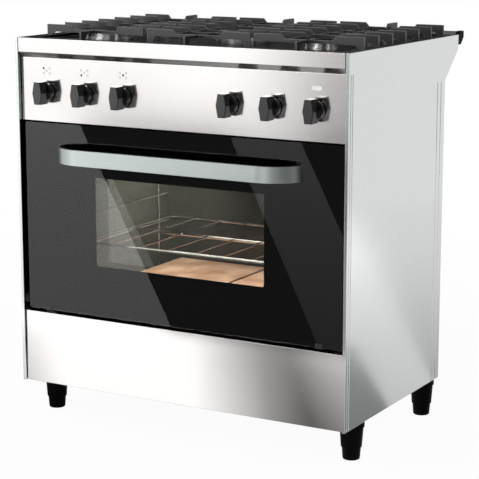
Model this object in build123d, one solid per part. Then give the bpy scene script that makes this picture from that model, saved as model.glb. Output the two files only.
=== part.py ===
from build123d import *
import math
import os

# A free-standing gas stove, in millimetres. X runs across the front, Y runs from
# the front to the wall and Z is up. Depths below are counted from the front edges
# of the side panels, and the origin is under the middle of the whole outline.

# Overall sizes
overall_width = 800.0
rim_height = 845.0
foot_height = 82.0
body_depth = 475.0
hob_depth = 545.0
rail_depth = 30.0
handle_reach = 45.0

# Sheet thicknesses
side_sheet = 1.2
panel_sheet = 1.2
frame_sheet = 1.5
liner_sheet = 1.2
hob_sheet = 1.5
base_sheet = 1.2
rail_sheet = 1.5

# Small working clearances
running_clearance = 0.05
seat_clearance = 0.3
sheet_gap = 0.5
cut_margin = 1.0

# Side panels
side_edge = 6.5
side_lip = 22.0
rear_flange = 20.0
bottom_flange = 56.0
bottom_flange_start = 30.0
hob_ledge = 18.0
flare_drop_low = 95.0
flare_drop_high = 32.0
bead_width = 3.0
bead_sink = 0.5
bead_front_depths = (8.5, 17.5)
bead_rear_insets = (21.0, 40.0)

# Back panel
vent_count = 9
vent_length = 44.0
vent_height = 5.0
vent_pitch = 62.0
vent_row_pitch = 15.0
vent_drop = 120.0
back_top_gap = 7.0
back_screw_count = 4
back_screw_radius = 2.0
back_screw_head = 3.6
back_screw_head_height = 2.2
back_screw_length = 8.0
back_screw_margin = 70.0

# Front rail of the hob and control panel
band_height = 30.0
band_top = 14.0
chin_height = 12.0
panel_setback = 10.0
rail_lip = 14.0
rail_end_gap = 2.0
panel_height = 136.0
panel_gap = 2.0

# Knobs, taps and gas rail
knob_pitch = 98.0
knob_edge = 66.5
knob_drop = 73.0
knob_reach = 38.0
knob_skirt_radius = 20.5
knob_skirt_height = 8.6
knob_skirt_chamfer = 2.0
grip_half_height = 24.0
grip_end_half_width = 8.0
grip_middle_half_width = 12.5
grip_edge_chamfer = 1.5
knob_push = 3.0
knob_standoff = 0.4
spindle_radius = 4.0
spindle_flat = 2.5
spindle_reach = 26.0
spindle_depth = 34.0
spindle_hole_clearance = 2.0
tap_body_radius = 13.0
tap_depth = 68.0
tap_below = 18.0
tap_stem_width = 18.0
tap_outlet_radius = 8.0
tap_outlet_depth = 24.0
outlet_rise = 38.0
gas_rail_size = 18.0
gas_rail_setback = 28.0
gas_rail_overhang = 20.0
gas_rail_wall = 2.0
inlet_inset = 40.0
inlet_pipe_radius = 8.0
inlet_thread_radius = 10.4775
inlet_thread_length = 15.0
inlet_standoff = 3.0
inlet_hole_clearance = 0.8
pipe_radius = 4.0
pipe_bend = 18.0
pipe_straight = 14.0
oven_pipe_bend = 30.0

# Oven door
door_gap = 4.0
door_height = 415.0
door_side_gap = 7.5
glass_setback = 11.0
glass_thickness = 5.0
print_thickness = 0.4
door_thickness = 33.0
window_width = 412.0
window_height = 193.0
door_frame_side_inset = 10.0
door_frame_top_inset = 8.0
door_frame_flange = 14.0
inner_glass_thickness = 4.0
inner_glass_lap = 9.0
inner_glass_margin = 20.0
glass_corner_radius = 3.0

# Door hinges
hinge_inset = 13.0
hinge_rise = 24.0
hinge_from_edge = 40.0
hinge_plate = 4.0
hinge_nose = 6.5
hinge_pin_radius = 3.0
hinge_side_clearance = 1.0
hinge_foot_width = 24.0
hinge_foot_height = 50.0
hinge_foot_plate = 2.0
leaf_height = 70.0
clip_width = 15.0
clip_sheet = 1.2
clip_lip = 9.0
clip_from_edge = 52.0

# Door handle
handle_height = 33.0
handle_drop = 62.0
handle_half_length = 295.0
handle_bend_run = 78.0
handle_strip = 3.0
handle_core = 9.0
handle_screw_radius = 2.0
handle_screw_head = 4.0
handle_screw_head_height = 2.5
handle_screw_reach = 10.0
glass_hole_clearance = 0.5

# Oven body
frame_setback = 56.0
frame_return = 20.0
frame_above = 10.0
frame_below = 11.0
wall_space = 110.0
floor_rise = 40.0
roof_drop = 45.0
rear_space = 30.5
insulation_thickness = 25.0
seal_offset = 6.0
seal_width = 10.0
floor_slot_count = 4
floor_slot_width = 10.0
floor_slot_length = 60.0
floor_slot_pitch = 80.0
floor_slot_inset = 25.0

# Oven fittings
tile_thickness = 15.0
tile_joint = 9.0
tile_side_gap = 55.0
tile_front_gap = 75.0
tile_rear_gap = 33.0
guide_wire = 2.5
guide_stub = 2.0
guide_wall_offset = 4.5
guide_rail_offset = 12.0
guide_rail_spacing = 65.0
guide_level_count = 3
guide_end_gap = 15.0
guide_post_inset = 52.0
guide_post_foot = 12.0
rack_rise = 107.0
rack_rail = 3.5
rack_wire = 2.0
rack_wire_count = 9
rack_front_gap = 22.0
rack_rear_gap = 7.0
rack_side_gap = 9.0
rack_wire_margin = 7.0
oven_burner_radius = 13.0
oven_burner_wall = 1.5
oven_burner_drop = 24.0
oven_burner_end_gap = 44.5
oven_burner_inlet = 30.0
oven_burner_boss = 9.0
oven_burner_front = 10.5
oven_burner_strut = 6.0
port_radius = 1.5
port_count = 16
port_margin = 40.0

# Hob, burners and grates
basin_depth = 7.0
basin_side = 30.0
basin_front = 16.0
basin_rear = 12.0
basin_corner = 22.0
hob_rear_turn = 23.0
grate_inset = 15.0
grate_gap = 10.0
blade_count = 7
blade_front = 100.0
blade_rear = 49.0
blade_thickness = 4.0
grate_height = 23.0
blade_dip = 9.0
blade_underside = 7.0
finger_length = 63.0
finger_ramp = 8.0
foot_width = 12.0
foot_ramp = 9.0
spine_front = 45.0
spine_rear = 20.0
burner_clearance = 5.0
bar_clearance = 4.0
horn_length = 45.0
large_burner = 45.0
medium_burner = 36.0
small_burner = 27.0
wok_burner = 53.0
cap_height = 6.0
cap_overhang = 3.0
cap_edge = 2.0
crown_height = 12.0
crown_wall = 9.0
crown_slot = 2.2
crown_slot_pitch = 8.0
crown_slot_height = 6.0
cup_flange = 3.0
cup_flange_lap = 4.0
cup_bowl_inset = 4.5
cup_bowl_depth = 32.0
cup_wall = 2.5
cup_stem_radius = 12.0
cup_inlet_reach = 30.0
cup_inlet_radius = 7.0
electrode_radius = 3.0
electrode_tip = 0.9
electrode_tip_length = 3.6
electrode_height = 12.0
electrode_collar = 4.5
electrode_collar_height = 1.5
electrode_tail = 22.0
electrode_gap = 6.0
thermocouple_radius = 2.0

# Rear rail of the hob
rail_rise = 5.0
rail_height = 26.0
rail_top_slope = 12.0
rail_under_slope = 15.0
cap_width = 10.0
cap_lap = 1.5
cap_fillet = 2.5

# Storage flap under the oven
flap_gap = 6.0
flap_setback = 5.0
flap_return = 16.0
flap_axis_inset = 9.0
flap_axis_rise = 9.0
flap_pin_radius = 3.0
flap_pin_collar = 4.5
flap_pin_length = 4.0
shield_drop = 5.0

# Feet
foot_side_inset = 27.0
foot_front_inset = 88.0
foot_rear_inset = 28.0
foot_collar_radius = 27.0
foot_collar_height = 12.0
foot_cone_top = 25.0
foot_cone_bottom = 22.0
foot_pad_height = 27.0
foot_pad_top = 20.0
foot_pad_bottom = 18.0
foot_pad_fillet = 3.0
foot_shank_radius = 12.0
foot_shank_length = 42.0
foot_bore_depth = 46.0

# Sizes that follow from the ones above
half = overall_width / 2
front_y = (handle_reach - hob_depth - rail_depth) / 2
side_inner = half - side_sheet
flare_low = rim_height - flare_drop_low
flare_high = rim_height - flare_drop_high
panel_half = half - side_edge - panel_gap
panel_top = rim_height - band_height - chin_height
panel_bottom = panel_top - panel_height
panel_back = panel_setback + panel_sheet
knob_z = panel_top - knob_drop
knob_outer = panel_half - knob_edge
knob_right = [knob_outer - i * knob_pitch for i in (2, 1, 0)]
knob_places = [-x for x in reversed(knob_right)] + knob_right
tap_rear = panel_back + tap_depth
tap_bottom = knob_z - tap_below
outlet_z = knob_z + outlet_rise

door_top = panel_bottom - door_gap
door_bottom = door_top - door_height
door_half = half - side_edge - door_side_gap
door_middle = (door_top + door_bottom) / 2
glass_rear = glass_setback + glass_thickness
print_rear = glass_rear + print_thickness
door_rear = glass_setback + door_thickness
hinge_depth = glass_setback + hinge_inset
hinge_z = door_bottom + hinge_rise
hinge_x = door_half - hinge_from_edge
frame_half = door_half - door_frame_side_inset
frame_top = door_top - door_frame_top_inset
handle_z = door_top - handle_drop

frame_rear = frame_setback + frame_sheet
cavity_half = half - wall_space
cavity_floor = door_bottom + floor_rise
cavity_roof = panel_bottom - roof_drop
cavity_rear = body_depth - rear_space
back_front = body_depth - side_sheet - panel_sheet

flap_top = door_bottom - flap_gap
flap_bottom = foot_height
flap_axis_depth = flap_setback + flap_axis_inset
flap_axis_z = flap_bottom + flap_axis_rise
base_top = foot_height + side_sheet + base_sheet
shield_top = flap_top - shield_drop
frame_bottom = flap_top - frame_below

basin_floor = rim_height - basin_depth
hob_front = band_top + sheet_gap
hob_half = half - side_edge - sheet_gap
basin_half = half - basin_side
basin_start = hob_front + basin_front
basin_end = hob_depth - basin_rear
grate_top = rim_height + grate_height
under_blades = rim_height + blade_underside
low_blades = grate_top - blade_dip
grate_width = (overall_width - 2 * grate_inset - 2 * grate_gap) / 3
blade_pitch = (hob_depth - blade_front - blade_rear) / (blade_count - 1)
blade_depths = [blade_front + i * blade_pitch for i in range(blade_count)]
grate_middles = [i * (grate_width + grate_gap) for i in (-1, 0, 1)]
front_row = blade_depths[1]
middle_row = blade_depths[blade_count // 2]
rear_row = blade_depths[-2]
burners = [
    (grate_middles[0], rear_row, medium_burner),
    (grate_middles[0], front_row, large_burner),
    (grate_middles[1], middle_row, wok_burner),
    (grate_middles[2], rear_row, medium_burner),
    (grate_middles[2], front_row, small_burner),
]


def place(x, depth, z):
    return Vector(x, front_y + depth, z)


def slab(x_low, x_high, depth_low, depth_high, z_low, z_high):
    middle = place((x_low + x_high) / 2, (depth_low + depth_high) / 2, (z_low + z_high) / 2)
    return Location(middle) * Box(x_high - x_low, depth_high - depth_low, z_high - z_low)


def rod(start, end, radius):
    first = place(*start)
    along = place(*end) - first
    return Part(Solid.make_cylinder(radius, along.length, Plane(origin=first, z_dir=along)).wrapped)


def cone(x, depth, z_low, z_high, radius_low, radius_high):
    base = Plane(origin=place(x, depth, z_low), z_dir=(0, 0, 1))
    return Part(Solid.make_cone(radius_low, radius_high, z_high - z_low, base).wrapped)


def side_plate(outline, x_low, x_high):
    # outline is a list of (depth, z) corners
    corners = [(front_y + depth, z) for depth, z in outline]
    plane = Plane(origin=(x_low, 0, 0), x_dir=(0, 1, 0), z_dir=(1, 0, 0))
    return extrude(plane * make_face(Polyline(*corners, close=True)), amount=x_high - x_low, dir=(1, 0, 0))


def front_plate(outline, depth_low, depth_high):
    # outline is a list of (x, z) corners
    plane = Plane(origin=place(0, depth_low, 0), x_dir=(1, 0, 0), z_dir=(0, -1, 0))
    face = plane * make_face(Polyline(*outline, close=True))
    return extrude(face, amount=depth_high - depth_low, dir=(0, 1, 0))


def folded_sheet(path, thickness, x_low, x_high):
    # path is the outer face of a bent sheet, as (depth, z) corners with the metal on its left
    normals = []
    for (d0, z0), (d1, z1) in zip(path, path[1:]):
        length = math.hypot(d1 - d0, z1 - z0)
        normals.append(((z0 - z1) / length, (d1 - d0) / length))
    inner = []
    for i, (depth, z) in enumerate(path):
        before = normals[max(i - 1, 0)]
        after = normals[min(i, len(normals) - 1)]
        share = thickness / (1 + before[0] * after[0] + before[1] * after[1])
        inner.append((depth + share * (before[0] + after[0]), z + share * (before[1] + after[1])))
    return side_plate(path + inner[::-1], x_low, x_high)


def mirrored(part):
    return mirror(part, about=Plane.YZ)


def pair(part):
    return [part, mirrored(part)]


def save(name, *pieces):
    solids = [solid for piece in pieces for solid in piece.solids()]
    shape = solids[0] if len(solids) == 1 else Compound(solids)
    export_step(shape, os.path.join("parts", name + ".step"))


# Shell

def back_screw_heights():
    low = base_top + back_screw_margin
    high = flare_low - back_screw_margin
    return [low + i * (high - low) / (back_screw_count - 1) for i in range(back_screw_count)]


def back_screw_x():
    return half - rear_flange / 2


def back_screw_bore(z):
    start = (back_screw_x(), body_depth - back_screw_length, z)
    end = (back_screw_x(), body_depth + back_screw_length, z)
    return rod(start, end, back_screw_radius + running_clearance)


def side_panel():
    outline = [
        (0, foot_height),
        (body_depth, foot_height),
        (body_depth, flare_low),
        (hob_depth, flare_high),
        (hob_depth, rim_height),
        (0, rim_height),
    ]
    panel = side_plate(outline, side_inner, half)
    panel += slab(half - side_edge, half, 0, side_sheet, foot_height, rim_height)
    lip_inner = half - side_edge
    panel += slab(lip_inner, lip_inner + side_sheet, 0, side_lip, foot_height, rim_height)
    panel += slab(half - rear_flange, half, body_depth - side_sheet, body_depth, foot_height, flare_low)
    floor_high = foot_height + side_sheet
    panel += slab(half - bottom_flange, half, bottom_flange_start, body_depth, foot_height, floor_high)
    ledge_top = rim_height - hob_sheet
    ledge_low = ledge_top - side_sheet
    panel += slab(half - hob_ledge, half, side_lip, hob_depth - hob_sheet, ledge_low, ledge_top)
    beads = [(depth, panel_top) for depth in bead_front_depths]
    beads += [(body_depth - inset, flare_low) for inset in bead_rear_insets]
    for depth, top in beads:
        low = depth - bead_width / 2
        panel -= slab(half - bead_sink, half + bead_sink, low, low + bead_width, foot_height, top)
    for z in back_screw_heights():
        panel -= back_screw_bore(z)
    return panel


def back_panel():
    low_face = body_depth - side_sheet
    high_face = hob_depth - hob_sheet
    path = [
        (low_face, base_top),
        (low_face, flare_low),
        (high_face, flare_high),
        (high_face, rim_height - hob_sheet - back_top_gap),
    ]
    panel = folded_sheet(path, panel_sheet, -side_inner, side_inner)
    vent_z = flare_low - vent_drop
    for i in range(vent_count):
        x = (i - (vent_count - 1) / 2) * vent_pitch
        for z in (vent_z, vent_z + vent_row_pitch):
            low = x - vent_length / 2
            panel -= slab(low, low + vent_length, back_front - cut_margin, body_depth, z, z + vent_height)
    reach = inlet_pipe_radius + inlet_hole_clearance
    z = gas_rail_middle()
    panel -= rod((inlet_x(), back_front - cut_margin, z), (inlet_x(), body_depth, z), reach)
    for z in back_screw_heights():
        bore = back_screw_bore(z)
        panel -= bore
        panel -= mirrored(bore)
    return panel


def back_panel_screws():
    screws = []
    for z in back_screw_heights():
        x = back_screw_x()
        screw = rod((x, body_depth - back_screw_length, z), (x, body_depth, z), back_screw_radius)
        screw += rod((x, body_depth, z), (x, body_depth + back_screw_head_height, z), back_screw_head)
        screws += pair(screw)
    return screws


def base_tray():
    low = foot_height + side_sheet
    return slab(-side_inner, side_inner, bottom_flange_start, back_front, low, base_top)


def burner_shield():
    return slab(-side_inner, side_inner, frame_rear, back_front, shield_top - base_sheet, shield_top)


def front_frame():
    top = panel_bottom + frame_above
    frame = slab(-side_inner, side_inner, frame_setback, frame_rear, frame_bottom, top)
    return_rear = frame_rear + frame_return
    wall = slab(side_inner - frame_sheet, side_inner, frame_rear, return_rear, shield_top, top)
    frame += wall
    frame += mirrored(wall)
    frame -= slab(-cavity_half, cavity_half, 0, frame_rear, cavity_floor, cavity_roof)
    return frame


# Front

def hob_front_rail():
    lip_z = panel_top
    path = [
        (band_top, rim_height),
        (0, rim_height),
        (0, rim_height - band_height),
        (panel_setback, lip_z),
        (panel_setback + rail_lip, lip_z),
    ]
    end = half - side_edge - rail_end_gap
    return folded_sheet(path, panel_sheet, -end, end)


def control_panel():
    path = [
        (panel_setback + rail_lip, panel_top),
        (panel_setback, panel_top),
        (panel_setback, panel_bottom),
        (frame_setback, panel_bottom),
    ]
    panel = folded_sheet(path, panel_sheet, -panel_half, panel_half)
    hole = spindle_radius + spindle_hole_clearance
    for x in knob_places:
        panel -= rod((x, 0, knob_z), (x, panel_back, knob_z), hole)
    return panel


def storage_flap():
    path = [
        (flap_setback + flap_return, flap_top),
        (flap_setback, flap_top),
        (flap_setback, flap_bottom),
        (flap_setback + flap_return, flap_bottom),
    ]
    flap = folded_sheet(path, panel_sheet, -panel_half, panel_half)
    inside = panel_half - panel_sheet
    rear = flap_setback + flap_return
    ear = slab(inside, panel_half, flap_setback, rear, flap_bottom, flap_top)
    bore = flap_pin_radius + running_clearance
    ear -= rod((0, flap_axis_depth, flap_axis_z), (half, flap_axis_depth, flap_axis_z), bore)
    flap += ear
    flap += mirrored(ear)
    return flap


def flap_pin():
    lip_inner = half - side_edge
    collar_end = panel_half + seat_clearance
    tip = panel_half - panel_sheet - flap_pin_length
    depth = flap_axis_depth
    z = flap_axis_z
    pin = rod((collar_end, depth, z), (lip_inner, depth, z), flap_pin_collar)
    return pin + rod((tip, depth, z), (collar_end, depth, z), flap_pin_radius)


# Taps and knobs

def gas_rail_middle():
    return tap_bottom - gas_rail_size / 2


def gas_rail_front():
    return panel_back + gas_rail_setback


def inlet_x():
    return half - inlet_inset


def tap(x):
    # a round valve body on a stem that stands on the gas rail, with the outlet above and behind it
    side = tap_stem_width / 2
    body = rod((x, panel_back, knob_z), (x, tap_rear, knob_z), tap_body_radius)
    stem_front = gas_rail_front()
    body += slab(x - side, x + side, stem_front, tap_rear, tap_bottom, knob_z)
    outlet_front = tap_rear - tap_outlet_depth
    body += slab(x - side, x + side, outlet_front, tap_rear, knob_z, outlet_z)
    body += rod((x, outlet_front, outlet_z), (x, tap_rear, outlet_z), tap_outlet_radius)
    rear = panel_back + spindle_depth
    return body - rod((x, 0, knob_z), (x, rear, knob_z), spindle_radius + running_clearance)


def spindle(x):
    flat_end = panel_setback
    tip = panel_setback - spindle_reach
    shaft = rod((x, tip, knob_z), (x, panel_back + spindle_depth, knob_z), spindle_radius)
    reach = spindle_radius + cut_margin
    return shaft - slab(x - reach, x + reach, tip, flat_end, knob_z + spindle_flat, knob_z + reach)


def knob(x):
    rear = panel_setback - knob_push - knob_standoff
    skirt_front = rear - knob_skirt_height
    front = panel_setback - knob_reach
    skirt = rod((x, rear, knob_z), (x, skirt_front, knob_z), knob_skirt_radius)
    rim = skirt.edges().filter_by(GeomType.CIRCLE).sort_by(Axis.Y)[0]
    skirt = chamfer(rim, knob_skirt_chamfer)
    outline = [
        (x - grip_end_half_width, knob_z + grip_half_height),
        (x - grip_middle_half_width, knob_z),
        (x - grip_end_half_width, knob_z - grip_half_height),
        (x + grip_end_half_width, knob_z - grip_half_height),
        (x + grip_middle_half_width, knob_z),
        (x + grip_end_half_width, knob_z + grip_half_height),
    ]
    grip = front_plate(outline, front, skirt_front + knob_skirt_chamfer)
    face_edges = grip.faces().sort_by(Axis.Y)[0].edges()
    grip = chamfer(face_edges, grip_edge_chamfer)
    body = skirt + grip
    bore_end = panel_setback - spindle_reach - knob_push - knob_standoff
    bore = rod((x, bore_end, knob_z), (x, rear, knob_z), spindle_radius + running_clearance)
    reach = spindle_radius + cut_margin
    flat = knob_z + spindle_flat + running_clearance
    bore -= slab(x - reach, x + reach, bore_end, rear, flat, knob_z + reach)
    return body - bore


def gas_manifold():
    front = gas_rail_front()
    rear = front + gas_rail_size
    low = tap_bottom - gas_rail_size
    left = knob_places[0] - gas_rail_overhang
    right = inlet_x() + gas_rail_size / 2
    rail = slab(left, right, front, rear, low, tap_bottom)
    z = gas_rail_middle()
    thread_start = body_depth + inlet_standoff
    thread_end = thread_start + inlet_thread_length
    rail += rod((inlet_x(), rear - gas_rail_wall, z), (inlet_x(), thread_start, z), inlet_pipe_radius)
    rail += rod((inlet_x(), thread_start, z), (inlet_x(), thread_end, z), inlet_thread_radius)
    wall = gas_rail_wall
    rail -= slab(left + wall, right - wall, front + wall, rear - wall, low + wall, tap_bottom - wall)
    return rail - rod((inlet_x(), rear - 2 * wall, z), (inlet_x(), thread_end, z), inlet_pipe_radius - wall)


def burner_pipe(x, burner):
    burner_x, burner_depth, _ = burner
    end = burner_depth - cup_inlet_reach
    corners = [
        place(x, tap_rear, outlet_z),
        place(x, tap_rear + pipe_straight, outlet_z),
        place(burner_x, end - pipe_straight, outlet_z),
        place(burner_x, end, outlet_z),
    ]
    path = FilletPolyline(*corners, radius=pipe_bend)
    return sweep(Plane(origin=corners[0], z_dir=(0, 1, 0)) * Circle(pipe_radius), path=path)


def oven_burner_z():
    return cavity_floor - liner_sheet - oven_burner_drop


def oven_pipe(x):
    depth = frame_rear + oven_burner_front
    corners = [
        place(x, depth, tap_bottom),
        place(x, depth, oven_burner_z()),
        place(oven_burner_inlet, depth, oven_burner_z()),
    ]
    path = FilletPolyline(*corners, radius=oven_pipe_bend)
    return sweep(Plane(origin=corners[0], z_dir=(0, 0, -1)) * Circle(pipe_radius), path=path)


# Oven

def oven_liner():
    wall = liner_sheet
    side = cavity_half + wall
    outer = slab(-side, side, frame_rear, cavity_rear + wall, cavity_floor - wall, cavity_roof + wall)
    liner = outer - slab(-cavity_half, cavity_half, frame_rear, cavity_rear, cavity_floor, cavity_roof)
    middle = (frame_rear + cavity_rear) / 2
    x = cavity_half - floor_slot_inset
    for i in range(floor_slot_count):
        low = middle + (i - (floor_slot_count - 1) / 2) * floor_slot_pitch - floor_slot_length / 2
        high = low + floor_slot_length
        slot = slab(x, x + floor_slot_width, low, high, cavity_floor - 2 * wall, cavity_floor)
        liner -= slot
        liner -= mirrored(slot)
    return liner


def oven_insulation():
    inner_x = cavity_half + liner_sheet
    outer_x = inner_x + insulation_thickness
    inner_top = cavity_roof + liner_sheet
    inner_rear = cavity_rear + liner_sheet
    outer_rear = inner_rear + insulation_thickness
    wool = slab(-outer_x, outer_x, frame_rear, outer_rear, cavity_floor, inner_top + insulation_thickness)
    return wool - slab(-inner_x, inner_x, frame_rear, inner_rear, cavity_floor, inner_top)


def refractory_tile():
    edge = cavity_half - tile_side_gap
    front = frame_rear + tile_front_gap
    rear = cavity_rear - tile_rear_gap
    return slab(tile_joint / 2, edge, front, rear, cavity_floor, cavity_floor + tile_thickness)


def guide_levels():
    first = cavity_floor + rack_rise - rack_rail - seat_clearance - guide_wire
    return [first + i * guide_rail_spacing for i in range(guide_level_count)]


def rack_guide():
    post_x = cavity_half - guide_wall_offset
    rail_x = cavity_half - guide_rail_offset
    front = frame_rear + guide_end_gap
    rear = cavity_rear - guide_end_gap
    posts = (frame_rear + guide_post_inset, cavity_rear - guide_post_inset)
    levels = guide_levels()
    foot = cavity_floor + guide_post_foot
    head = levels[-1] + guide_rail_spacing
    guide = None
    for depth in posts:
        post = rod((post_x, depth, foot), (post_x, depth, head), guide_wire)
        for z in (foot + 2 * guide_wire, head - 2 * guide_wire):
            post += rod((post_x, depth, z), (cavity_half, depth, z), guide_stub)
        guide = post if guide is None else guide + post
    for z in levels:
        guide += rod((rail_x, front, z), (rail_x, rear, z), guide_wire)
        for depth in posts:
            guide += rod((rail_x, depth, z), (post_x, depth, z), guide_stub)
    return guide


def oven_rack():
    z = cavity_floor + rack_rise
    edge = cavity_half - rack_side_gap
    front = frame_rear + rack_front_gap
    rear = cavity_rear - rack_rear_gap
    rack = rod((-edge, front, z), (edge, front, z), rack_rail)
    rack += rod((-edge, rear, z), (edge, rear, z), rack_rail)
    middle = (front + rear) / 2
    rack += rod((-edge, middle, z), (edge, middle, z), rack_rail)
    wire_z = z + rack_rail - rack_wire
    outer = edge - rack_wire_margin
    for i in range(rack_wire_count):
        x = -outer + i * 2 * outer / (rack_wire_count - 1)
        rack += rod((x, front, wire_z), (x, rear, wire_z), rack_wire)
    return rack


def oven_burner():
    z = oven_burner_z()
    rear = cavity_rear - oven_burner_end_gap
    inlet_depth = frame_rear + oven_burner_front
    tube = rod((0, frame_rear, z), (0, rear, z), oven_burner_radius)
    tube += rod((0, inlet_depth, z), (oven_burner_inlet, inlet_depth, z), oven_burner_boss)
    half_strut = oven_burner_strut / 2
    under = cavity_floor - liner_sheet
    tube += slab(-half_strut, half_strut, rear - oven_burner_strut, rear, z, under)
    inside = oven_burner_radius - oven_burner_wall
    start = frame_rear + oven_burner_wall
    end = rear - oven_burner_strut - oven_burner_wall
    tube -= rod((0, start, z), (0, end, z), inside)
    first = inlet_depth + port_margin
    spacing = (end - first - oven_burner_wall) / port_count
    reach = oven_burner_radius + port_radius
    for i in range(port_count):
        depth = first + i * spacing
        tube -= rod((-reach, depth, z + reach), (0, depth, z), port_radius)
        tube -= rod((reach, depth, z + reach), (0, depth, z), port_radius)
    return tube


# Oven door

def handle_screw_x():
    radius = handle_radius() - handle_strip - handle_core / 2
    drop = handle_radius() - handle_depth() + handle_screw_reach / 2
    return handle_half_length - handle_bend_run + math.sqrt(radius ** 2 - drop ** 2)


def handle_depth():
    return handle_reach + glass_setback


def handle_radius():
    return (handle_bend_run ** 2 + handle_depth() ** 2) / (2 * handle_depth())


def handle_screw_bore(radius):
    start = (handle_screw_x(), glass_setback - handle_screw_reach, handle_z)
    end = (handle_screw_x(), print_rear, handle_z)
    return rod(start, end, radius)


def handle_bow(radius):
    # a straight bar with round ends, whose front and ends keep one distance from the bend centres
    bend_x = handle_half_length - handle_bend_run
    centre = handle_radius() - handle_reach
    low = handle_z - handle_height / 2
    high = handle_z + handle_height / 2
    bow = slab(-bend_x, bend_x, centre - radius, centre, low, high)
    for x in (-bend_x, bend_x):
        bow += rod((x, centre, low), (x, centre, high), radius)
    bow -= slab(-half, half, glass_setback, centre + 2 * radius, low - cut_margin, high + cut_margin)
    return bow


def door_handle():
    outer = handle_bow(handle_radius())
    return outer - handle_bow(handle_radius() - handle_strip)


def handle_backing():
    outer = handle_bow(handle_radius() - handle_strip)
    backing = outer - handle_bow(handle_radius() - handle_strip - handle_core)
    bore = handle_screw_bore(handle_screw_radius)
    return backing - bore - mirrored(bore)


def handle_screw():
    screw = handle_screw_bore(handle_screw_radius)
    x = handle_screw_x()
    head_end = print_rear + handle_screw_head_height
    return screw + rod((x, print_rear, handle_z), (x, head_end, handle_z), handle_screw_head)


def door_glass():
    pane = slab(-door_half, door_half, glass_setback, glass_rear, door_bottom, door_top)
    pane = fillet(pane.edges().filter_by(Axis.Y), glass_corner_radius)
    bore = handle_screw_bore(handle_screw_radius + glass_hole_clearance)
    return pane - bore - mirrored(bore)


def door_print():
    layer = slab(-door_half, door_half, glass_rear, print_rear, door_bottom, door_top)
    layer = fillet(layer.edges().filter_by(Axis.Y), glass_corner_radius)
    side = window_width / 2
    low = door_middle - window_height / 2
    layer -= slab(-side, side, glass_rear, print_rear, low, low + window_height)
    bore = handle_screw_bore(handle_screw_radius + glass_hole_clearance)
    return layer - bore - mirrored(bore)


def hinge_bracket_x():
    return hinge_x + hinge_side_clearance


def door_frame():
    wall = panel_sheet
    low = hinge_z
    frame = slab(-frame_half, frame_half, print_rear, door_rear, low, frame_top)
    inside = frame_half - wall
    frame -= slab(-inside, inside, print_rear + wall, door_rear - wall, low + wall, frame_top - wall)
    mouth = frame_half - door_frame_flange
    front_low = low + door_frame_flange
    front_high = frame_top - door_frame_flange
    frame -= slab(-mouth, mouth, print_rear, print_rear + wall, front_low, front_high)
    side = window_width / 2 + inner_glass_margin
    tall = window_height / 2 + inner_glass_margin
    frame -= slab(-side, side, door_rear - wall, door_rear, door_middle - tall, door_middle + tall)
    notch_inner = hinge_x - hinge_plate - 2 * hinge_nose
    notch_outer = hinge_bracket_x() + hinge_plate + hinge_side_clearance
    notch_top = hinge_z + hinge_nose + hinge_side_clearance
    notch = slab(notch_inner, notch_outer, print_rear, door_rear, low, notch_top)
    return frame - notch - mirrored(notch)


def door_inner_glass():
    side = window_width / 2 + inner_glass_margin + inner_glass_lap
    tall = window_height / 2 + inner_glass_margin + inner_glass_lap
    rear = door_rear - panel_sheet
    return slab(-side, side, rear - inner_glass_thickness, rear, door_middle - tall, door_middle + tall)


def hinge_pin():
    outer = hinge_bracket_x() + hinge_plate
    inner = hinge_x - hinge_plate - hinge_nose
    return rod((inner, hinge_depth, hinge_z), (outer, hinge_depth, hinge_z), hinge_pin_radius)


def hinge_leaf():
    rear = door_rear - panel_sheet
    low = hinge_z
    front = print_rear + panel_sheet
    leaf = slab(hinge_x - hinge_plate, hinge_x, front, rear, low, low + leaf_height)
    leaf += rod((hinge_x - hinge_plate, hinge_depth, low), (hinge_x, hinge_depth, low), hinge_nose)
    bore = hinge_pin_radius + running_clearance
    return leaf - rod((0, hinge_depth, low), (half, hinge_depth, low), bore)


def hinge_bracket():
    inner = hinge_bracket_x()
    outer = inner + hinge_plate
    arm = slab(inner, outer, hinge_depth, frame_setback, hinge_z - hinge_nose, hinge_z + hinge_nose)
    arm += rod((inner, hinge_depth, hinge_z), (outer, hinge_depth, hinge_z), hinge_nose)
    low = hinge_z - hinge_foot_height / 2
    front = frame_setback - hinge_foot_plate
    arm += slab(inner, inner + hinge_foot_width, front, frame_setback, low, low + hinge_foot_height)
    return arm - rod((0, hinge_depth, hinge_z), (half, hinge_depth, hinge_z), hinge_pin_radius)


def door_clip():
    x = door_half - clip_from_edge
    side = clip_width / 2
    front = glass_setback - clip_sheet
    low = door_bottom - clip_sheet
    clip = slab(x - side, x + side, front, print_rear + clip_sheet, low, door_bottom)
    clip += slab(x - side, x + side, front, glass_setback, low, door_bottom + clip_lip)
    clip += slab(x - side, x + side, print_rear, print_rear + clip_sheet, low, hinge_z)
    return clip


def door_seal():
    front = door_rear + sheet_gap
    inner = cavity_half + seal_offset
    outer = inner + seal_width
    low = cavity_floor - seal_offset
    high = cavity_roof + seal_offset
    ring = slab(-outer, outer, front, frame_setback, low - seal_width, high + seal_width)
    ring -= slab(-inner, inner, front, frame_setback, low, high)
    return ring


# Hob

def hob_bores(x, depth, radius):
    # two small holes beside a burner, for its spark electrode and its thermocouple
    reach = (radius + electrode_gap + electrode_radius) / math.sqrt(2)
    return (x + reach, depth - reach), (x - reach, depth - reach)


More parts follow.
